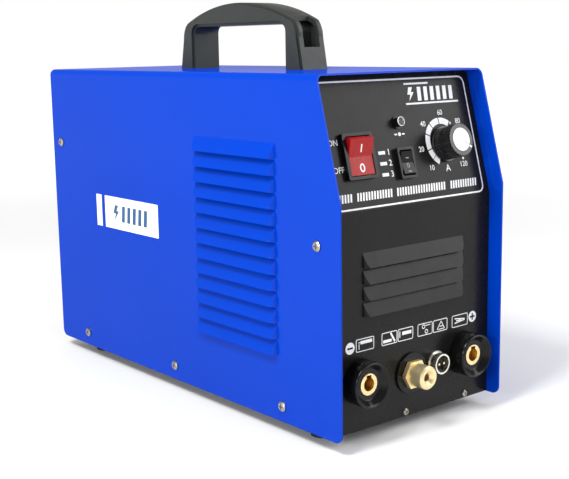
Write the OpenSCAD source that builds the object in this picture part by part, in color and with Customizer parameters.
// Portable inverter welding machine for TIG, stick and plasma cutting.
// A folded sheet cover over a base tray, with a recessed front panel that leans
// back at the top, a rear panel with the fan, and a carrying handle.
//
// Frame: X to the right seen from the front, Y to the rear, Z up. The origin is
// on the floor, under the middle of the whole machine.
// Inside the file every part is placed from the cover's lower front edge.

/* [Cover] */
// Width of the cover over its side sheets
body_w = 155; // [153:1:160]
// Length of the cover from its front edge to its rear edge
body_l = 370; // [366:1:380]
// Height of the cover from its lower edge to its top
body_h = 235; // [232:1:240]
// Thickness of the cover's painted sheet
sheet = 1.2; // [1:0.1:1.4]
// Outside radius of the cover's two long bends
bend_r = 5; // [3:0.5:8]
// Height at which the cover's front edge starts to lean back
kink_z = 155; // [150:1:160]
// Angle by which the upper front edge and the control panel lean back
slope = 15.2; // [12:0.1:18]
// Radius of the cover's lower corners
corner_r = 6; // [3:1:10]

/* [Side louvres] */
// Number of louvres on each side
louvre_count = 13; // [8:1:14]
// Height from one louvre to the next
louvre_pitch = 11.1; // [10.8:0.1:11.6]
// Height of the top louvre's lip
louvre_top_z = 179.6; // [170:0.2:185]
// Length of each louvre
louvre_l = 92; // [70:1:110]
// How far each louvre stands out of the sheet
louvre_reach = 4.6; // [3:0.2:6]
// Distance from the cover's front edge to the louvres' front ends
louvre_y = 63.5; // [60:0.5:70]

/* [Front panel] */
// Depth of the lower front panel behind the cover's front edge
panel_y = 11.3; // [10:0.1:13]
// Height of the crease between the lower panel and the control panel
crease_z = 147.5; // [145:0.5:150]
// Half-distance between the two output sockets
socket_x = 50.9; // [49:0.1:52]
// Height of the output sockets' axes
socket_z = 34.3; // [32:0.1:37]
// Outside radius of an output socket's moulded body
socket_r = 15.5; // [14.5:0.1:16]
// How far an output socket stands out of the panel
socket_reach = 13; // [11:0.5:15]
// Radius of the bore that takes the output plug
socket_bore_r = 4.5; // [4:0.1:5]
// Distance of the torch connector's axis from the middle plane
torch_x = -3; // [-4:0.1:-2]
// Height of the torch connector's axis
torch_z = 30.3; // [29:0.1:32]
// Radius of the torch connector's threaded nose
torch_r = 8.1; // [7.6:0.1:8.4]
// How far the torch connector's nose stands out of the panel
torch_reach = 17.3; // [15:0.1:20]
// Distance of the trigger socket's axis from the middle plane
trigger_x = 21; // [20.9:0.1:22.5]
// Height of the trigger socket's axis
trigger_z = 33.2; // [32:0.1:34]

/* [Controls] */
// Place of the current dial across the panel
dial_x = 38.5; // [37:0.1:40]
// Place of the current dial up the slope from the crease
dial_s = 37.3; // [36:0.1:39]
// Radius of the current knob's foot
knob_r = 12.2; // [11.6:0.1:12.4]
// Length of the current knob
knob_l = 16.7; // [15:0.1:19]
// Angle of the knob's pointer from three o'clock, in degrees
pointer_angle = -33; // [-44:1:0]
// Swing of each rocker either side of its middle, in degrees
rocker_swing = 12; // [9:0.5:13]

/* [Handle] */
// Length of the handle over its legs at the foot
handle_l = 154; // [150:1:158]
// Width of the handle
handle_w = 27; // [24:0.5:30]
// Height of the handle above the cover
handle_h = 50; // [47:0.5:53]
// Height of the finger opening above the cover
grip_z = 33; // [31:0.5:34]
// Distance from the cover's front edge to the handle's middle
handle_y = 188; // [180:1:196]
// Wall thickness of the handle moulding
handle_wall = 2.6; // [2.2:0.1:3]

/* [Feet] */
// Height of the rubber feet below the cover's lower edge
foot_h = 9; // [7:0.5:11]
// Radius of a rubber foot at the floor
foot_r = 9; // [8:0.5:10]

/* [Fan] */
// Outside width of the square fan frame
fan_w = 120; // [118:1:120]
// Depth of the fan
fan_d = 25.4; // [25:0.1:26]
// Height of the fan's axis
fan_z = 148; // [144:1:152]
// Number of fan blades
blade_count = 7; // [5:1:9]

/* [Hidden] */
$fn = 48;

// Small amounts: the cut that runs past a face, and the gap between neighbours.
past = 1;
gap = 0.1;

// The machine's front and rear reach past the cover, which centre it on Y.
barb_reach = 22;
rear_recess = 7;
front_reach = torch_reach - panel_y;
rear_reach = barb_reach - rear_recess;
front_y = -(body_l + rear_reach - front_reach) / 2;

// Inside faces of the cover and of the parts folded to fit in it.
inner_x = body_w / 2 - sheet;
flange_x = inner_x - gap;
panel_t = 1.2;
floor_z = 0.4;
floor_top = floor_z + panel_t;
rear_y = body_l - rear_recess;
panel_top = body_h - sheet - gap;
panel_flange = 20;
tray_front = panel_y + panel_t;
tray_rear = rear_y - panel_t;
tray_flange_h = 22;
tray_inner_x = flange_x - panel_t - gap;

// Screws, all of one thread: shank radius, head radius and head height.
screw_r = 1.9;
screw_head_r = 3.6;
screw_head_h = 1.7;
cover_screw_l = 7;
low_screw_y = [59.5, 190, 324];
low_screw_z = 11;
front_screw = [21.8, 126.8];
rear_screw = [355.5, 173.5];
panel_screw_x = [-8, 52];
panel_screw_z = 3.6;
panel_screw_r = 1.2;
panel_screw_head_r = 2.4;
panel_lip_h = 12;

// Places of the feet, mirrored about the middle plane.
foot_x = 56;
foot_places = [42, 332];

// Control panel, measured across the panel and up the slope from the crease.
power_x = -43.5;
power_s = 35.1;
mode_x = -2.7;
mode_s = 27.3;
lamp_x = -3.2;
lamp_s = 55;
board_depth = 29;

// Rocker switches: outer size, rim, rocker width and rocker radius.
power_size = [26.5, 30.5];
power_rocker_w = 20.4;
power_rocker_r = 12.8;
mode_size = [15, 21];
mode_rocker_w = 10.6;
mode_rocker_r = 8.4;
bezel_h = 3.4;
rocker_face = 2.4;
rocker_axis_z = 0.5;
rocker_pin_r = 1.2;
pin_reach = 1.2;
running_gap = 0.05;
rocker_gap = 0.35;

// Potentiometer.
pot_bush_r = 3.5;
pot_shaft_r = 3;

// Rear panel fittings, measured across the panel and up from the lower edge.
gland_x = -42;
gland_z = 36;
gas_x = 42;
gas_z = 24;
earth_x = 2;
earth_z = 28;
gland_bore_r = 5.5;

// Power board and what stands on it.
board_z = 18;
board_t = 1.6;
board_top = board_z + board_t;
board_x = 64;
board_y0 = 84;
board_y1 = 300;
sink_y0 = 112;
sink_l = 176;
sink_h = 76;
sink_w = 30;
sink_x = 62;
sink_wall = 6;
fin_count = 8;
fin_t = 2;
core_y = 172;

// ---- placing -------------------------------------------------------------

// From the cover's lower front edge to the floor frame.
module on_floor() {
    translate([0, front_y, foot_h]) children();
}

// On the lower front panel: local Z points out of the panel, local Y up.
module on_front(x, z) {
    on_floor() translate([x, panel_y, z]) rotate([90, 0, 0]) children();
}

// On the leaning control panel, s up the slope from the crease.
module on_face(x, s) {
    on_floor() translate([0, panel_y, crease_z]) rotate([90 - slope, 0, 0])
        translate([x, s, 0]) children();
}

// On the rear panel: local Z points out to the rear, local Y up.
module on_rear(x, z) {
    on_floor() translate([x, rear_y, z]) rotate([90, 0, 180]) children();
}

// On the left or the right side sheet: local Z points out, local Y up.
module on_side(side, y, z) {
    on_floor() translate([side * body_w / 2, y, z]) rotate([90, 0, side * 90]) children();
}

// Every place of a screw through the cover's two sides.
module at_cover_screws() {
    for (side = [-1, 1]) {
        for (y = low_screw_y) on_side(side, y, low_screw_z) children();
        on_side(side, front_screw[0], front_screw[1]) children();
        on_side(side, rear_screw[0], rear_screw[1]) children();
    }
}

module at_panel_screws() {
    for (x = panel_screw_x) {
        on_front(x, panel_screw_z) children();
        on_rear(x, panel_screw_z) children();
    }
}

module at_feet() {
    for (side = [-1, 1], y = foot_places) on_floor() translate([side * foot_x, y, 0]) children();
}

module at_fan_holes() {
    for (a = [45:90:315]) rotate(a) translate([(fan_w / 2 - 7.5) * sqrt(2), 0]) children();
}

// ---- shared shapes -------------------------------------------------------

// Upright outline with two round upper corners.
module round_top(w, h, r) {
    translate([-w / 2, 0]) square([w, h - r]);
    translate([-(w / 2 - r), 0]) square([w - 2 * r, h]);
    for (m = [-1, 1]) translate([m * (w / 2 - r), h - r]) circle(r);
}

// Rectangle with four round corners, centred.
module round_rect(w, h, r) {
    square([w, h - 2 * r], center = true);
    square([w - 2 * r, h], center = true);
    for (mx = [-1, 1], my = [-1, 1]) translate([mx * (w / 2 - r), my * (h / 2 - r)]) circle(r);
}

// Corner waste: what a round corner of radius r takes off at the origin.
module corner_waste(r) {
    difference() {
        translate([-past, -past]) square(r + past);
        translate([r, r]) circle(r);
    }
}

module ring(r_out, r_in, h) {
    difference() {
        cylinder(h = h, r = r_out);
        translate([0, 0, -past]) cylinder(h = h + 2 * past, r = r_in);
    }
}

// Hexagon nut or hexagon section of a fitting, by its width across flats.
module hex(flats, h) {
    cylinder(h = h, r = flats / sqrt(3), $fn = 6);
}

module hex_nut(flats, r_in, h) {
    difference() {
        hex(flats, h);
        translate([0, 0, -past]) cylinder(h = h + 2 * past, r = r_in);
    }
}

// Pan-head screw whose head rests on the local XY plane.
module pan_screw(length, r = screw_r, head_r = screw_head_r, head_h = screw_head_h) {
    difference() {
        union() {
            cylinder(h = head_h * 0.5, r = head_r);
            translate([0, 0, head_h * 0.5]) cylinder(h = head_h * 0.5, r1 = head_r, r2 = head_r * 0.72);
            translate([0, 0, -length]) cylinder(h = length + 0.1, r = r);
        }
        for (a = [0, 90]) rotate(a)
            translate([0, 0, head_h]) cube([head_r * 1.1, 0.8, head_h * 1.2], center = true);
    }
}

// Hood of a louvre with its mouth down: local X along it, Y up, Z out of the sheet.
// It slopes straight out from its top edge to its lip.
// thin = 0 gives its outside, thin = the sheet's thickness gives the space inside.
module louvre_hood(length, reach, rise, thin) {
    inset = thin / cos(atan(reach / rise));
    drop = thin > 0 ? 0.3 : 0;
    intersection() {
        translate([length / 2, 0, 0]) rotate([0, -90, 0]) linear_extrude(length)
            intersection() {
                translate([-inset, 0]) polygon([
                    [-reach, -rise], [reach, -rise], [reach, 0], [-reach, 2 * rise]
                ]);
                translate([-2 * reach, -drop]) square([4 * reach, rise + drop]);
            }
        translate([0, -past, 0]) rotate([-90, 0, 0]) linear_extrude(rise + 2 * past)
            mirror([0, 1]) louvre_plan(length, reach + 0.2, thin);
    }
}

// Outline of a louvre seen from above, with ends that curve back into the sheet.
module louvre_plan(length, reach, thin) {
    depth = 1.2;
    end_r = depth + reach;
    ramp = sqrt(end_r * end_r - depth * depth);
    translate([0, -depth]) {
        for (m = [-1, 1]) translate([m * (length / 2 - ramp), 0]) circle(end_r - thin);
        translate([-length / 2 + ramp, 0]) square([length - 2 * ramp, end_r - thin]);
    }
}

// Outside of a louvre, with the sheet's own thickness behind it.
module louvre_shell(length, reach, rise, t) {
    intersection() {
        louvre_hood(length, reach, rise, 0);
        translate([-length, -past, -t]) cube([2 * length, rise + 2 * past, reach + t + past]);
    }
}

// ---- cover, trays and panels ---------------------------------------------

// Outline of the cover's side, from its front edge and its lower edge.
module side_outline() {
    lean = (body_h - kink_z) * tan(slope);
    difference() {
        polygon([[0, 0], [0, kink_z], [lean, body_h], [body_l, body_h], [body_l, 0]]);
        corner_waste(corner_r);
        translate([body_l, 0]) mirror([1, 0]) corner_waste(corner_r);
    }
}

module cover_louvres() {
    for (side = [-1, 1], k = [0:louvre_count - 1])
        on_side(side, louvre_y + louvre_l / 2, louvre_top_z - k * louvre_pitch) children();
}

module cover() {
    rise = louvre_pitch - 0.9;
    color("royalblue") difference() {
        union() {
            on_floor() intersection() {
                translate([0, body_l, 0]) rotate([90, 0, 0]) linear_extrude(body_l) difference() {
                    round_top(body_w, body_h, bend_r);
                    translate([0, -past]) round_top(2 * inner_x, body_h - sheet + past, bend_r - sheet);
                }
                translate([-body_w, 0, 0]) rotate([90, 0, 90]) linear_extrude(2 * body_w) side_outline();
            }
            cover_louvres() louvre_shell(louvre_l, louvre_reach, rise, sheet);
        }
        cover_louvres() louvre_hood(louvre_l, louvre_reach, rise, sheet);
        at_cover_screws() translate([0, 0, -sheet - past])
            cylinder(h = sheet + 2 * past, r = screw_r + gap);
        at_handle_screws() translate([0, 0, -sheet - past])
            cylinder(h = sheet + 2 * past, r = screw_r + gap);
    }
}

// Tray with upturned sides and a short lip at each end.
module base_plate() {
    color("dimgray") difference() {
        on_floor() {
            translate([-tray_inner_x, tray_front, floor_z])
                cube([2 * tray_inner_x, tray_rear - tray_front, panel_t]);
            translate([-flange_x, tray_front + panel_flange + 1, floor_z])
                cube([2 * flange_x, tray_rear - tray_front - 2 * panel_flange - 2, panel_t]);
            for (side = [-1, 1])
                translate([side * (flange_x - panel_t / 2) - panel_t / 2, 0, 0])
                    translate([0, tray_front + panel_flange + 1, floor_z])
                        cube([panel_t, tray_rear - tray_front - 2 * panel_flange - 2, tray_flange_h]);
            for (y = [tray_front, tray_rear - panel_t])
                translate([-flange_x + 3, y, floor_z]) cube([2 * flange_x - 6, panel_t, panel_lip_h]);
        }
        at_cover_screws() translate([0, 0, -cover_screw_l - past])
            cylinder(h = cover_screw_l, r = screw_r + running_gap);
        at_panel_screws() translate([0, 0, -cover_screw_l])
            cylinder(h = cover_screw_l + past, r = panel_screw_r + running_gap);
        at_feet() translate([0, 0, -past]) cylinder(h = foot_h, r = screw_r + running_gap);
        at_board_standoffs()
            translate([0, 0, -2 * past - panel_t]) cylinder(h = panel_t + 3 * past, r = 1.6);
    }
}

// Front sheet seen from the side: the lower face, the leaning face and a top flange.
module front_sheet_outline() {
    rise = (panel_top - crease_z);
    lean = rise * tan(slope);
    back = panel_t / cos(slope);
    bend = panel_t * tan(slope / 2);
    polygon([
        [panel_y, floor_z], [panel_y, crease_z], [panel_y + lean, panel_top],
        [panel_y + lean + panel_flange, panel_top], [panel_y + lean + panel_flange, panel_top - panel_t],
        [panel_y + lean + back - panel_t * tan(slope), panel_top - panel_t],
        [panel_y + panel_t, crease_z - bend], [panel_y + panel_t, floor_z]
    ]);
}

// Side flange of the front panel, seen from the side.
module front_flange_outline() {
    rise = (panel_top - crease_z);
    lean = rise * tan(slope);
    polygon([
        [panel_y, floor_z], [panel_y, crease_z], [panel_y + lean, panel_top],
        [panel_y + lean + panel_flange, panel_top], [panel_y + panel_flange, crease_z],
        [panel_y + panel_flange, floor_z]
    ]);
}

front_louvre_l = 96;
front_louvre_pitch = 10.8;
front_louvre_z = 109.8;
front_louvre_reach = 4;
front_louvre_rise = 9.9;

module front_louvres() {
    for (k = [0:3]) on_front(0, front_louvre_z - k * front_louvre_pitch) children();
}

module front_panel() {
    color("#2b2b2d") difference() {
        union() {
            on_floor() intersection() {
                union() {
                    translate([-flange_x, 0, 0]) rotate([90, 0, 90])
                        linear_extrude(2 * flange_x) front_sheet_outline();
                    for (x = [-flange_x, flange_x - panel_t])
                        translate([x, 0, 0]) rotate([90, 0, 90])
                            linear_extrude(panel_t) front_flange_outline();
                }
                translate([0, body_l, 0]) rotate([90, 0, 0]) linear_extrude(body_l)
                    round_top(2 * flange_x, panel_top, bend_r - sheet);
            }
            front_louvres() louvre_shell(front_louvre_l, front_louvre_reach, front_louvre_rise, panel_t);
        }
        front_louvres() louvre_hood(front_louvre_l, front_louvre_reach, front_louvre_rise, panel_t);
        at_cover_screws() translate([0, 0, -cover_screw_l - past])
            cylinder(h = cover_screw_l, r = screw_r + running_gap);
        at_panel_screws() translate([0, 0, -cover_screw_l])
            cylinder(h = cover_screw_l + past, r = panel_screw_r + gap);
        on_face(power_x, power_s) hole_through(power_size[0] - 3, power_size[1] - 3);
        on_face(mode_x, mode_s) hole_through(mode_size[0] - 2, mode_size[1] - 2);
        on_face(dial_x, dial_s) round_hole(pot_bush_r + gap);
        on_face(lamp_x, lamp_s) round_hole(lamp_r + gap);
        for (m = [-1, 1]) on_front(m * socket_x, socket_z) round_hole(contact_r + 2 + gap);
        on_front(torch_x, torch_z) round_hole(torch_r + gap);
        on_front(trigger_x, trigger_z) round_hole(trigger_r + gap);
    }
}

module hole_through(w, h) {
    translate([-w / 2, -h / 2, -panel_t - past]) cube([w, h, panel_t + 2 * past]);
}

module round_hole(r) {
    translate([0, 0, -panel_t - past]) cylinder(h = panel_t + 2 * past, r = r);
}

module rear_panel() {
    color("#2b2b2d") difference() {
        on_floor() {
            difference() {
                translate([0, rear_y, 0]) rotate([90, 0, 0]) linear_extrude(panel_flange) difference() {
                    round_top(2 * flange_x, panel_top, bend_r - sheet);
                    square([4 * body_w, 2 * floor_z], center = true);
                }
                translate([0, rear_y - panel_t, 0]) rotate([90, 0, 0]) linear_extrude(panel_flange)
                    translate([0, -past])
                        round_top(
                            2 * (flange_x - panel_t), panel_top - panel_t + past, bend_r - sheet - panel_t
                        );
            }
        }
        at_cover_screws() translate([0, 0, -cover_screw_l - past])
            cylinder(h = cover_screw_l, r = screw_r + running_gap);
        at_panel_screws() translate([0, 0, -cover_screw_l])
            cylinder(h = cover_screw_l + past, r = panel_screw_r + gap);
        on_rear(0, fan_z) {
            round_hole(fan_w / 2 - 4);
            at_fan_holes() round_hole(screw_r + gap);
        }
        on_rear(gland_x, gland_z) round_hole(gland_thread_r + gap);
        on_rear(gas_x, gas_z) round_hole(gas_thread_r + gap);
        on_rear(earth_x, earth_z) round_hole(earth_shank_r + gap);
    }
}

module cover_screws() {
    color("silver") at_cover_screws() pan_screw(cover_screw_l);
}

module panel_screws() {
    color("silver") at_panel_screws() pan_screw(5, panel_screw_r, panel_screw_head_r, 1.4);
}

// Printed plate and its end bar on the left side sheet.
module side_label() {
    label_t = 0.3;
    label_h = 26;
    color("white") on_side(-1, 246.5, 121) {
        translate([0, 0, label_t / 2]) cube([79, label_h, label_t], center = true);
        translate([-49, 0, label_t / 2]) cube([8, label_h, label_t], center = true);
    }
}

// ---- feet ----------------------------------------------------------------

foot_head_z = 3;

module rubber_feet() {
    height = foot_h + floor_z;
    color("#1b1b1b") at_feet() translate([0, 0, -foot_h]) difference() {
        union() {
            cylinder(h = 2, r = foot_r);
            translate([0, 0, 2]) cylinder(h = height - 2, r1 = foot_r, r2 = foot_r + 1);
        }
        translate([0, 0, -past]) cylinder(h = height + 2 * past, r = screw_r + running_gap);
        translate([0, 0, -past]) cylinder(h = foot_head_z + past, r = screw_head_r + 0.6);
    }
}

module foot_screws() {
    color("silver") at_feet() translate([0, 0, foot_head_z - foot_h]) mirror([0, 0, 1]) pan_screw(12);
}

// ---- handle --------------------------------------------------------------

// Slots in the outer faces of the handle's legs: width, and height of their lower end.
handle_slot_w = 15;
handle_slot_z = 16;

// Arch seen from the side, shrunk by a wall thickness on its outside.
module handle_outline(wall) {
    half = handle_l / 2 - wall;
    top = handle_h - wall;
    shoulder_r = 18 - wall;
    shoulder_z = 44 - handle_wall - 18 + (handle_h - 50);
    crown_r = 166;
    intersection() {
        union() {
            polygon([[-half, 0], [-half + 4.5, shoulder_z], [half - 4.5, shoulder_z], [half, 0]]);
            translate([-half + 4.5 + shoulder_r, shoulder_z])
                square([2 * (half - 4.5 - shoulder_r), top - shoulder_z]);
            for (m = [-1, 1]) translate([m * (half - 4.5 - shoulder_r), shoulder_z]) circle(shoulder_r);
        }
        translate([0, top - crown_r]) circle(crown_r, $fn = 180);
    }
}

// Finger opening seen from the side, grown by a wall thickness.
module grip_outline(wall) {
    half = 57.7 + wall;
    top = grip_z + wall;
    round_r = 6 + wall;
    translate([0, -past]) round_top(2 * half, top + past, round_r);
}

module at_handle_screws() {
    for (m = [-1, 1]) on_floor() translate([0, handle_y + m * (handle_l / 2 - 9.8), body_h]) children();
}

module handle() {
    core_w = handle_w - 2 * handle_wall;
    rim = 2;
    color("#3c3e3c") difference() {
        on_floor() translate([0, handle_y, body_h]) rotate([90, 0, 90]) {
            translate([0, 0, -handle_w / 2 + rim]) linear_extrude(handle_w - 2 * rim) difference() {
                handle_outline(0);
                grip_outline(0);
            }
            translate([0, 0, -handle_w / 2]) linear_extrude(handle_w) difference() {
                handle_outline(rim);
                grip_outline(rim);
            }
        }
        difference() {
            on_floor() translate([0, handle_y, body_h]) rotate([90, 0, 90])
                translate([0, 0, -core_w / 2]) linear_extrude(core_w) difference() {
                    translate([0, -past]) handle_outline(handle_wall);
                    grip_outline(handle_wall);
                }
            at_handle_screws() cylinder(h = handle_slot_z, r = 5);
        }
        for (m = [-1, 1]) on_floor() translate([0, handle_y + m * 69.5, body_h + handle_slot_z])
            translate([-handle_slot_w / 2, -9, 0]) cube([handle_slot_w, 18, 26]);
        at_handle_screws() translate([0, 0, -past])
            cylinder(h = handle_slot_z - 1.8 + past, r = screw_r + running_gap);
    }
}

module handle_screws() {
    color("silver") at_handle_screws() translate([0, 0, -sheet]) mirror([0, 0, 1]) pan_screw(14);
}

// ---- rocker switches -----------------------------------------------------

// Switch body: the rim in front of the panel and the housing behind it.
module switch_body(size, rocker_w, rocker_r) {
    well_w = rocker_w + 2 * rocker_gap;
    well_h = 2 * (rocker_r + rocker_gap);
    depth = 19;
    color("#161616") difference() {
        union() {
            linear_extrude(bezel_h) round_rect(size[0], size[1], 1.5);
            translate([0, 0, -depth]) linear_extrude(depth + 0.5)
                square([size[0] - 3.2, size[1] - 3.2], center = true);
            for (m = [-1, 1]) translate([m * rocker_w * 0.3, 0, -depth - 6])
                linear_extrude(6.5) square([0.8, 6], center = true);
        }
        translate([0, 0, -10])
            linear_extrude(10 + bezel_h + past) square([well_w, well_h], center = true);
        translate([0, 0, rocker_axis_z]) rotate([0, 90, 0])
            cylinder(h = rocker_w + 2 * pin_reach + 0.4, r = rocker_pin_r + running_gap, center = true);
    }
}

// Rocker seen along its pin, turned about the pin: two faces that meet in a
// shallow valley, and round ends that clear the rim.
module rocker(rocker_w, rocker_r, turn) {
    valley = tan(rocker_swing) * rocker_r;
    translate([0, 0, rocker_axis_z]) rotate([turn, 0, 0]) {
        rotate([90, 0, 90]) translate([0, 0, -rocker_w / 2]) linear_extrude(rocker_w) intersection() {
            circle(rocker_r);
            polygon([
                [-rocker_r, -5], [-rocker_r, rocker_face + valley], [0, rocker_face],
                [rocker_r, rocker_face + valley], [rocker_r, -5]
            ]);
        }
        rotate([0, 90, 0]) cylinder(h = rocker_w + 2 * pin_reach, r = rocker_pin_r, center = true);
    }
}

module power_switch_body() {
    on_face(power_x, power_s) switch_body(power_size, power_rocker_w, power_rocker_r);
}

module power_rocker() {
    color("firebrick") on_face(power_x, power_s) rocker(power_rocker_w, power_rocker_r, rocker_swing);
}

module mode_switch_body() {
    on_face(mode_x, mode_s) switch_body(mode_size, mode_rocker_w, mode_rocker_r);
}

module mode_rocker() {
    color("#202020") on_face(mode_x, mode_s) rocker(mode_rocker_w, mode_rocker_r, 0);
}

// ---- current control and lamp --------------------------------------------

pot_nut_h = 2;
pot_bush_l = 5.5;
knob_gap = 0.6;
knob_cap_r = 8;

module potentiometer_body() {
    color("slategray") on_face(dial_x, dial_s) {
        difference() {
            union() {
                translate([0, 0, -panel_t - 9]) cylinder(h = 9, r = 12);
                translate([0, 0, -panel_t - 0.1])
                    cylinder(h = pot_bush_l + panel_t + 0.1, r = pot_bush_r);
            }
            translate([0, 0, -panel_t - 6]) cylinder(h = 20, r = pot_shaft_r + running_gap);
        }
        for (m = [-1:1]) translate([m * 5 - 0.5, -17, -panel_t - 7]) cube([1, 6, 0.8]);
    }
}

module potentiometer_nut() {
    color("silver") on_face(dial_x, dial_s) hex_nut(10, pot_bush_r + running_gap, pot_nut_h);
}

module potentiometer_shaft() {
    color("silver") on_face(dial_x, dial_s)
        translate([0, 0, -panel_t - 5.7]) cylinder(h = panel_t + 5.7 + knob_l - 4, r = pot_shaft_r);
}

// Knob with a narrow skirt and a fluted grip, hollow over the nut.
module current_knob() {
    grip_r = knob_r - 0.9;
    skirt_h = 2;
    flutes = 30;
    color("#1f1f20") on_face(dial_x, dial_s) difference() {
        union() {
            translate([0, 0, knob_gap]) cylinder(h = skirt_h, r = knob_r);
            translate([0, 0, skirt_h]) cylinder(h = knob_l - skirt_h, r = grip_r);
        }
        for (k = [0:flutes - 1]) rotate(k * 360 / flutes)
            translate([grip_r + 0.3, 0, skirt_h + past]) cylinder(h = knob_l, r = 0.75);
        translate([0, 0, -past]) cylinder(h = past + pot_bush_l + 1, r = 7);
        translate([0, 0, -past]) cylinder(h = past + knob_l - 4, r = pot_shaft_r);
        translate([0, 0, knob_l - 1.5]) cylinder(h = 1.5 + past, r = knob_cap_r + running_gap);
    }
}

// Bright disc in the knob's end with the pointer groove across its rim.
module knob_cap() {
    color("gainsboro") on_face(dial_x, dial_s) difference() {
        translate([0, 0, knob_l - 1.5]) cylinder(h = 1.8, r = knob_cap_r);
        rotate(pointer_angle) translate([3, -0.5, knob_l]) cube([8, 1, past]);
    }
}

lamp_r = 3.2;
lamp_reach = 6.4;

module lamp_holder() {
    color("#141414") on_face(lamp_x, lamp_s) difference() {
        union() {
            cylinder(h = 1.2, r = lamp_r + 1.1);
            translate([0, 0, -6]) cylinder(h = 6 + lamp_reach - 1.6, r = lamp_r);
        }
        translate([0, 0, -6 - past]) cylinder(h = 20, r = lamp_r - 0.7);
    }
}

module lamp_lens() {
    dome_r = lamp_r - 0.7 - 0.02;
    color("mistyrose") on_face(lamp_x, lamp_s) {
        translate([0, 0, -5]) cylinder(h = 5 + lamp_reach - dome_r, r = dome_r);
        translate([0, 0, lamp_reach - dome_r]) sphere(dome_r);
        for (m = [-1, 1]) translate([m * 1.2, 0, -11]) cylinder(h = 6.5, r = 0.3, $fn = 16);
    }
}

// ---- output sockets ------------------------------------------------------

contact_r = 7.3;
contact_face = 4.7;
contact_l = 36;
key_w = 4.4;
key_h = 1.6;
recess_r = 10.5;
recess_rim_r = 14.2;

module socket_body(side) {
    color("#191919") on_front(side * socket_x, socket_z) difference() {
        union() {
            cylinder(h = socket_reach - 1, r = socket_r);
            translate([0, 0, socket_reach - 1]) cylinder(h = 1, r1 = socket_r, r2 = socket_r - 0.7);
            translate([0, 0, -6]) cylinder(h = 6.5, r = contact_r + 2);
        }
        translate([0, 0, socket_reach - contact_face])
            cylinder(h = contact_face + 0.01, r1 = recess_r, r2 = recess_rim_r);
        translate([0, 0, -6 - past]) cylinder(h = 40, r = contact_r + gap / 4);
    }
}

// Brass contact with a keyed bore for a bayonet plug and a shoulder behind.
module socket_contact(side) {
    color("#d6b36a") on_front(side * socket_x, socket_z) difference() {
        translate([0, 0, socket_reach - contact_face - contact_l])
            cylinder(h = contact_l + 0.6, r = contact_r);
        translate([0, 0, socket_reach - contact_face - 22]) cylinder(h = 24, r = socket_bore_r);
        translate([-key_w / 2, 0, socket_reach - contact_face - 22])
            cube([key_w, socket_bore_r + key_h, 24]);
    }
}

module socket_nuts() {
    color("#c9a65c") for (side = [-1, 1]) on_front(side * socket_x, socket_z)
        translate([0, 0, -6 - 5]) hex_nut(22, contact_r + running_gap, 5);
}

// ---- torch connector -----------------------------------------------------

torch_disc_r = 14.4;
torch_disc_h = 1.8;
torch_hex_z = 2.2;
torch_hex_h = 3.2;
torch_bore_r = 2.6;
torch_tail = 24;

module torch_insulator() {
    color("#181818") on_front(torch_x, torch_z) {
        ring(torch_disc_r, torch_r + gap, torch_disc_h);
        translate([0, 0, -panel_t - 2]) ring(torch_disc_r - 2, torch_r + gap, 2);
    }
}

module torch_connector() {
    color("#d6b36a") on_front(torch_x, torch_z) difference() {
        union() {
            translate([0, 0, torch_hex_z]) hex(18.4, torch_hex_h);
            translate([0, 0, -torch_tail]) cylinder(h = torch_tail + torch_reach - 1, r = torch_r);
            translate([0, 0, -torch_tail - spigot_l]) cylinder(h = spigot_l + 0.1, r = spigot_r);
            translate([0, 0, torch_reach - 1]) cylinder(h = 1, r1 = torch_r, r2 = torch_r - 1);
        }
        translate([0, 0, -torch_tail - spigot_l - past]) cylinder(h = 70, r = torch_bore_r);
        translate([0, 0, torch_reach - 2.6])
            cylinder(h = 2.6 + 0.01, r1 = torch_bore_r, r2 = torch_bore_r + 2.4);
    }
}

module torch_connector_nut() {
    color("#c9a65c") on_front(torch_x, torch_z)
        translate([0, 0, -panel_t - 2 - 5]) hex_nut(22, torch_r + running_gap, 5);
}

// ---- trigger socket ------------------------------------------------------

trigger_r = 7.2;
trigger_reach = 7.5;
trigger_wall = 1.2;

module trigger_socket_shell() {
    color("silver") on_front(trigger_x, trigger_z) difference() {
        union() {
            cylinder(h = 1.6, r = trigger_r + 1);
            translate([0, 0, -12]) cylinder(h = 12 + trigger_reach, r = trigger_r);
        }
        translate([0, 0, -12 - past]) cylinder(h = 30, r = trigger_r - trigger_wall);
    }
}

module trigger_socket_insert() {
    color("#141414") on_front(trigger_x, trigger_z) difference() {
        translate([0, 0, -12])
            cylinder(h = 12 + trigger_reach - 3.5, r = trigger_r - trigger_wall - 0.02);
        for (m = [-1, 1]) translate([m * 2.4, 0, -12 - past]) cylinder(h = 30, r = 0.8 + 0.02, $fn = 24);
    }
}

module trigger_socket_pins() {
    color("gold") for (m = [-1, 1]) on_front(trigger_x + m * 2.4, trigger_z)
        translate([0, 0, -16]) cylinder(h = 16 + trigger_reach - 1, r = 0.8, $fn = 24);
}

module trigger_socket_nut() {
    color("silver") on_front(trigger_x, trigger_z)
        translate([0, 0, -panel_t - 2.5]) hex_nut(17, trigger_r + running_gap, 2.5);
}

// ---- fan -----------------------------------------------------------------

fan_bore_r = 57;
hub_r = 20;
bearing_r = 4;
fan_front = -panel_t - 0.1;

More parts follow.
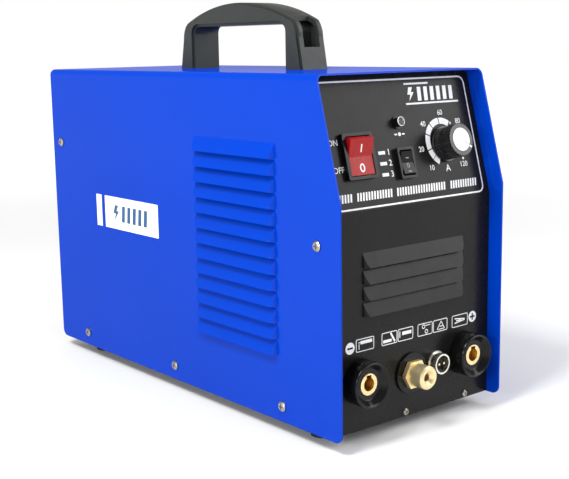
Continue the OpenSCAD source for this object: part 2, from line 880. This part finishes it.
module fan_frame() {
    color("#181818") on_rear(0, fan_z) translate([0, 0, fan_front - fan_d]) {
        difference() {
            linear_extrude(fan_d) round_rect(fan_w, fan_w, 4);
            translate([0, 0, -past]) cylinder(h = fan_d + 2 * past, r = fan_bore_r);
            for (a = [45:90:315]) rotate(a) translate([(fan_w / 2 - 7.5) * sqrt(2), 0, -past])
                cylinder(h = fan_d + 2 * past, r = screw_r + running_gap);
        }
        difference() {
            union() {
                cylinder(h = 3, r = hub_r);
                cylinder(h = 14, r = bearing_r + 2);
                for (a = [15:90:285]) rotate(a)
                    translate([hub_r - 1, -2, 0]) cube([fan_bore_r - hub_r + 2, 4, 3]);
            }
            translate([0, 0, 2]) cylinder(h = 20, r = 2 + running_gap);
        }
    }
}

// Rotor: a cup over the motor and flat blades set at an angle to the air.
module fan_rotor() {
    blade_h = fan_d - 8;
    tip_gap = 1.5;
    color("#202020") on_rear(0, fan_z) translate([0, 0, fan_front - fan_d]) {
        difference() {
            translate([0, 0, 4]) cylinder(h = blade_h + 2, r = hub_r);
            translate([0, 0, 4 - past]) cylinder(h = blade_h + past, r = hub_r - 2);
        }
        translate([0, 0, 3]) cylinder(h = blade_h + 2, r = 2);
        intersection() {
            for (k = [0:blade_count - 1]) rotate(k * 360 / blade_count)
                translate([hub_r - 0.6, 0, 4 + blade_h / 2 + 1])
                rotate([38, 0, 0]) translate([0, -14, -0.8]) cube([fan_bore_r, 28, 1.6]);
            translate([0, 0, 4.5]) ring(fan_bore_r - tip_gap, hub_r - 0.8, blade_h + 1);
        }
    }
}

// Guard of round wire: four rings on a cross of two bars, with four eyes.
module fan_guard() {
    wire = 1.1;
    corner = (fan_w / 2 - 7.5) * sqrt(2);
    color("silver") on_rear(0, fan_z) {
        for (r = [14:13:53]) translate([0, 0, 3 * wire])
            rotate_extrude() translate([r, 0]) circle(wire, $fn = 16);
        difference() {
            for (a = [45, 135]) rotate(a) translate([-corner, 0, 2.2 * wire]) rotate([0, 90, 0])
                cylinder(h = 2 * corner, r = wire, $fn = 16);
            at_fan_holes() translate([0, 0, -past]) cylinder(h = 8, r = 4);
        }
        at_fan_holes() ring(4.4, screw_r + gap, 2.8 * wire);
    }
}

module fan_screws() {
    color("silver") on_rear(0, fan_z) at_fan_holes() translate([0, 0, 3.1]) pan_screw(20);
}

// ---- rear fittings -------------------------------------------------------

gland_thread_r = 8;
gas_thread_r = 6.4;
gas_thread_l = 8;
spigot_r = 3.2;
spigot_l = 10;
gas_bore_r = 2.5;
earth_r = 3;
earth_shank_r = 3.5;
earth_nut_h = 4;

module cable_gland() {
    color("#191919") on_rear(gland_x, gland_z) difference() {
        union() {
            hex(22, 5);
            translate([0, 0, 5]) cylinder(h = 9, r = 9.6);
            translate([0, 0, 14]) cylinder(h = 4, r1 = 9.6, r2 = 7);
            translate([0, 0, -9]) cylinder(h = 9.1, r = gland_thread_r);
        }
        translate([0, 0, -9 - past]) cylinder(h = 40, r = gland_bore_r);
    }
}

module gland_nut() {
    color("#191919") on_rear(gland_x, gland_z)
        translate([0, 0, -panel_t - 4]) hex_nut(22, gland_thread_r + running_gap, 4);
}

// Brass inlet with a barbed tail for the gas hose.
module gas_inlet() {
    barb_r = 4;
    step = 4;
    color("#d6b36a") on_rear(gas_x, gas_z) difference() {
        union() {
            hex(15, 5);
            translate([0, 0, -gas_thread_l]) cylinder(h = gas_thread_l + 0.1, r = gas_thread_r);
            cylinder(h = barb_reach - 3 * step + 0.1, r = barb_r);
            for (k = [0:2]) translate([0, 0, barb_reach - (k + 1) * step])
                cylinder(h = step, r1 = barb_r + 0.7, r2 = barb_r - 0.4);
        }
        translate([0, 0, -gas_thread_l - past]) cylinder(h = 60, r = gas_bore_r);
    }
}

valve_block = [22, 18, 16];

// Solenoid valve behind the inlet: a brass block, a coil and an outlet spigot.
module gas_valve() {
    back = -gas_thread_l - valve_block[2];
    color("#3a3a3f") on_rear(gas_x, gas_z) {
        difference() {
            translate([0, 0, back]) linear_extrude(valve_block[2])
                square([valve_block[0], valve_block[1]], center = true);
            translate([0, 0, back - past]) cylinder(h = valve_block[2] + 2 * past, r = gas_bore_r);
        }
        translate([0, valve_block[1] / 2 - 0.1, back + valve_block[2] / 2])
            rotate([-90, 0, 0]) cylinder(h = 26, r = 10);
        translate([0, 0, back - spigot_l]) ring(spigot_r, gas_bore_r, spigot_l + 0.1);
    }
}

// Route of the gas hose: from the valve, under the power board and up to the
// torch connector.
hose_r = 4.6;
hose_bore_r = 3.4;
valve_tip_y = rear_y - gas_thread_l - valve_block[2] - spigot_l;
torch_tip_y = panel_y + torch_tail + spigot_l;
hose_route = [
    [gas_x, valve_tip_y + 8, gas_z], [gas_x, valve_tip_y, gas_z], [gas_x, valve_tip_y - 5, gas_z],
    [gas_x, 311, 17], [gas_x, 298, 10.5], [gas_x + 1, 284, 9.5], [gas_x + 2, 250, 9.5],
    [gas_x, 200, 9.5], [36, 150, 9.5], [22, 110, 9.5], [8, 84, 10.5], [1, 70, 16],
    [torch_x, 60, 27], [torch_x, torch_tip_y + 5, torch_z], [torch_x, torch_tip_y, torch_z],
    [torch_x, torch_tip_y - 8, torch_z]
];

function unit(v) = v / norm(v);
// Point at parameter t of a smooth curve through four neighbouring points.
function curve_point(p, t) =
    0.5 * ((2 * p[1]) + (p[2] - p[0]) * t + (2 * p[0] - 5 * p[1] + 4 * p[2] - p[3]) * t * t
        + (3 * p[1] - p[0] - 3 * p[2] + p[3]) * t * t * t);
function route_point(route, i) = route[max(0, min(len(route) - 1, i))];
function smooth_route(route, steps) = [
    for (i = [0:len(route) - 2], k = [0:steps - 1])
        curve_point([for (j = [-1:2]) route_point(route, i + j)], k / steps),
    route[len(route) - 1]
];
// Ring of points round a curve, square to its direction.
function ring_points(centre, along, r, sides) =
    let (side = unit(cross(along, [0, 0, 1])), up = cross(side, along))
    [for (k = [0:sides - 1]) centre + r * (cos(360 * k / sides) * side + sin(360 * k / sides) * up)];

// Solid tube swept along a route.
module sweep_tube(route, r, sides) {
    path = smooth_route(route, 5);
    count = len(path);
    points = [
        for (i = [0:count - 1])
            let (along = unit(route_point(path, i + 1) - route_point(path, i - 1)))
            each ring_points(path[i], along, r, sides)
    ];
    walls = [
        for (i = [0:count - 2], k = [0:sides - 1])
            [
                i * sides + k, i * sides + (k + 1) % sides,
                (i + 1) * sides + (k + 1) % sides, (i + 1) * sides + k
            ]
    ];
    ends = [
        [for (k = [sides - 1:-1:0]) k],
        [for (k = [0:sides - 1]) (count - 1) * sides + k]
    ];
    polyhedron(points = points, faces = concat(walls, ends), convexity = 6);
}

// The same route with both ends moved on by one millimetre, for the bore.
function past_ends(route) = [
    for (i = [0:len(route) - 1]) route[i]
        + (i == 0 ? past * unit(route[0] - route[1]) : [0, 0, 0])
        + (i == len(route) - 1 ? past * unit(route[i] - route[i - 1]) : [0, 0, 0])
];

module gas_hose() {
    color("#2a2a2a") on_floor() difference() {
        sweep_tube(hose_route, hose_r, 12);
        sweep_tube(past_ends(hose_route), hose_bore_r, 12);
    }
}

// Stud with a thicker shank under the nut and a free end for the earth lead.
module earth_stud() {
    color("silver") on_rear(earth_x, earth_z) {
        translate([0, 0, -8]) cylinder(h = 8 + 1 + earth_nut_h, r = earth_shank_r);
        cylinder(h = 12, r = earth_r);
        translate([0, 0, -panel_t - 4]) hex(10, 4);
    }
}

module earth_nuts() {
    color("silver") on_rear(earth_x, earth_z) {
        ring(6.4, earth_shank_r + running_gap, 1);
        translate([0, 0, 1]) hex_nut(11, earth_shank_r + running_gap, earth_nut_h);
    }
}

// ---- power electronics ---------------------------------------------------

board_standoff_places = [
    for (x = [-58, 58], y = [board_y0 + 8, board_y1 - 8]) [x, y],
    [-20, 189], [20, 189]
];
panel_standoff_places = [[-62, 12], [62, 12], [-62, 76], [62, 76]];

module at_board_standoffs() {
    for (p = board_standoff_places) on_floor() translate([p[0], p[1], floor_top]) children();
}

module board_standoffs() {
    color("goldenrod") at_board_standoffs() difference() {
        hex(6, board_z - floor_top);
        translate([0, 0, -past]) cylinder(h = 40, r = 1.5, $fn = 24);
    }
}

module power_board() {
    color("darkgreen") difference() {
        on_floor() translate([-board_x, board_y0, board_z])
            cube([2 * board_x, board_y1 - board_y0, board_t]);
        at_board_standoffs() translate([0, 0, -past]) cylinder(h = 40, r = 1.6, $fn = 24);
    }
}

module control_board() {
    color("darkgreen") difference() {
        on_face(0, 44) translate([0, 0, -board_depth - panel_t - board_t / 2])
            cube([134, 74, board_t], center = true);
        for (p = panel_standoff_places) on_face(p[0], p[1])
            translate([0, 0, -40]) cylinder(h = 30, r = 1.3, $fn = 24);
    }
}

module panel_standoffs() {
    color("goldenrod") for (p = panel_standoff_places) on_face(p[0], p[1])
        translate([0, 0, -panel_t - board_depth]) hex(5.5, board_depth);
}

// Finned extrusion standing on the power board, with its fins to the outside.
module heat_sink(side) {
    pitch = (sink_h - fin_t) / (fin_count - 1);
    on_floor() translate([side * sink_x, sink_y0, board_top + 0.2]) mirror([side > 0 ? 0 : 1, 0, 0]) {
        translate([-sink_w, 0, 0]) cube([sink_wall, sink_l, sink_h]);
        for (k = [0:fin_count - 1]) translate([-sink_w + sink_wall - 0.1, 0, k * pitch])
            cube([sink_w - sink_wall + 0.1, sink_l, fin_t]);
    }
}

module input_heat_sink() {
    color("lightsteelblue") heat_sink(-1);
}

module output_heat_sink() {
    color("lightsteelblue") heat_sink(1);
}

// Flat power packages clamped on a heat sink's inner face.
module packages(side, count) {
    size = [5, 16, 21];
    pitch = 26;
    for (k = [0:count - 1]) on_floor()
        translate([side * (sink_x - sink_w), sink_y0 + 22 + k * pitch, board_top + 18])
            mirror([side > 0 ? 1 : 0, 0, 0]) {
            cube(size);
            for (j = [-1:1]) translate([2, size[1] / 2 + j * 5.4 - 0.6, -18]) cube([0.8, 1.2, 18.1]);
        }
}

module switching_transistors() {
    color("#232323") packages(-1, 6);
}

module output_diodes() {
    color("#232323") packages(1, 6);
}

module capacitors() {
    color("midnightblue") for (k = [0:2]) on_floor()
        translate([0, 222 + k * 31, board_top]) cylinder(h = 46, r = 14.5);
}

module bridge_rectifier() {
    color("#1c1c1c") on_floor() translate([-50, board_y0 + 5, board_top]) cube([28, 18, 24]);
}

// Two ferrite E halves round the winding.
module transformer_core() {
    core = [44, 50, 56];
    leg = 12;
    color("#3b3b3b") on_floor() translate([0, core_y, board_top + core[2] / 2 + 0.2]) difference() {
        cube(core, center = true);
        for (m = [-1, 1]) translate([m * 13, 0, 0])
            cube([12, core[1] + 2 * past, core[2] - 2 * leg], center = true);
    }
}

module transformer_winding() {
    color("peru") on_floor() translate([0, core_y, board_top + 28.2]) difference() {
        cube([37, 62, 31], center = true);
        cube([14.2, 50.2, 33], center = true);
        for (m = [-1, 1]) translate([m * 25, 0, 0]) cube([12.1, 50.2, 33], center = true);
    }
}

module output_choke() {
    color("chocolate") on_floor() translate([0, 128, board_top + 26]) rotate([90, 0, 0])
        rotate_extrude() translate([17, 0]) circle(8.5);
}

// Copper bar from an electronics block forward to a socket contact.
module output_bar(side) {
    tail = panel_y - (socket_reach - contact_face) + contact_l;
    bar_t = 3;
    color("#b87333") on_floor() difference() {
        union() {
            translate([side * socket_x - 7, tail + 0.1, socket_z - 8]) cube([14, bar_t, 40]);
            translate([side * socket_x - 7, tail + 0.1, socket_z + 32 - bar_t])
                cube([14, sink_y0 - tail - 0.2, bar_t]);
        }
        translate([side * socket_x, tail, socket_z])
            rotate([-90, 0, 0]) cylinder(h = 10, r = 3, $fn = 24);
    }
}

// ---- what is drawn -------------------------------------------------------

cover();
base_plate();
front_panel();
rear_panel();
handle();
handle_screws();
rubber_feet();
foot_screws();
cover_screws();
panel_screws();
side_label();
power_switch_body();
power_rocker();
mode_switch_body();
mode_rocker();
potentiometer_body();
potentiometer_nut();
potentiometer_shaft();
current_knob();
knob_cap();
lamp_holder();
lamp_lens();
socket_body(-1);  // left_socket_body
socket_body(1);  // right_socket_body
socket_contact(-1);  // left_socket_contact
socket_contact(1);  // right_socket_contact
socket_nuts();
torch_insulator();
torch_connector();
torch_connector_nut();
trigger_socket_shell();
trigger_socket_insert();
trigger_socket_pins();
trigger_socket_nut();
fan_frame();
fan_rotor();
fan_guard();
fan_screws();
cable_gland();
gland_nut();
gas_inlet();
gas_valve();
gas_hose();
earth_stud();
earth_nuts();
power_board();
control_board();
board_standoffs();
panel_standoffs();
input_heat_sink();
output_heat_sink();
switching_transistors();
output_diodes();
capacitors();
bridge_rectifier();
transformer_core();
transformer_winding();
output_choke();
output_bar(-1);  // left_output_bar
output_bar(1);  // right_output_bar
